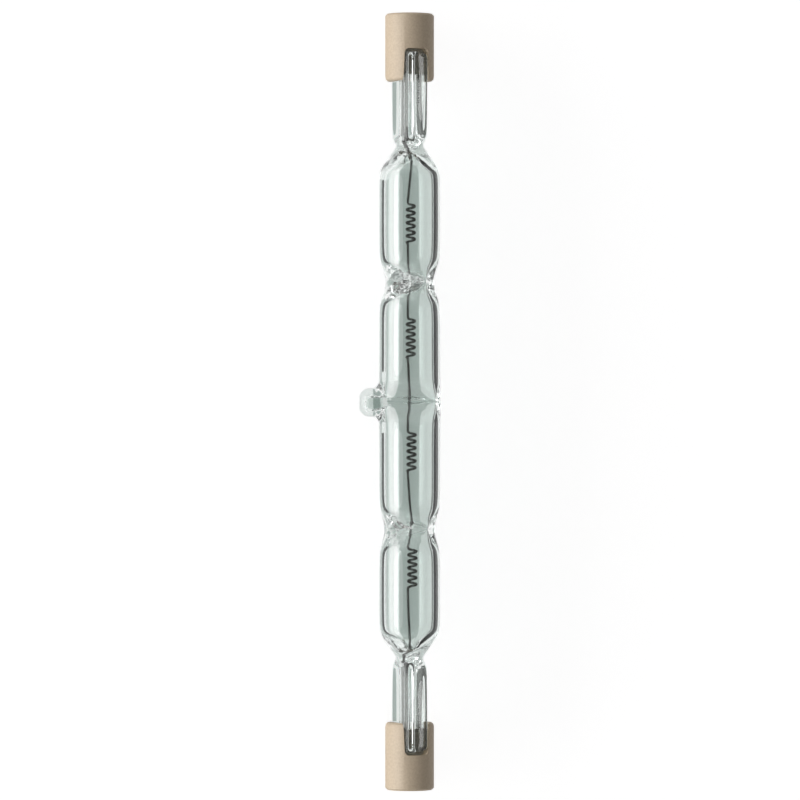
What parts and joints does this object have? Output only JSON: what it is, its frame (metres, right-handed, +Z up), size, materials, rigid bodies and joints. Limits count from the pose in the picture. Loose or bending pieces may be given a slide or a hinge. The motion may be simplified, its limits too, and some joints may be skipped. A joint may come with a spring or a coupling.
{
  "type": "linear halogen bulb",
  "caption": "Double-ended linear halogen bulb with a pinched clear quartz tube, a coiled filament and slotted ceramic end caps",
  "frame": {"origin": "on the surface that the bulb lies on, under the middle of its footprint", "axes": "+Y along the bulb towards its upper end, +Z up, with the exhaust tip lying on the surface at -X"},
  "size_m": [0.0118, 0.1176, 0.0093],
  "materials": {
    "quartz_glass": "clear, fire polished",
    "tungsten": "drawn wire, dark grey",
    "molybdenum": "rolled foil, satin",
    "lead_wire": "drawn wire, satin",
    "cap_ceramic": "unglazed, fine grained, matt",
    "contact_metal": "pressed, lightly worn",
    "cap_cement": "set cement, matt"
  },
  "bodies": {
    "root": {"lower_cap_cement": "cap_cement", "lower_ceramic_cap": "cap_ceramic", "lower_contact_button": "contact_metal", "lower_molybdenum_foil": "molybdenum", "lower_outer_lead": "lead_wire", "quartz_envelope": "quartz_glass", "tungsten_filament": "tungsten", "upper_cap_cement": "cap_cement", "upper_ceramic_cap": "cap_ceramic", "upper_contact_button": "contact_metal", "upper_molybdenum_foil": "molybdenum", "upper_outer_lead": "lead_wire"}
  },
  "joints": []
}
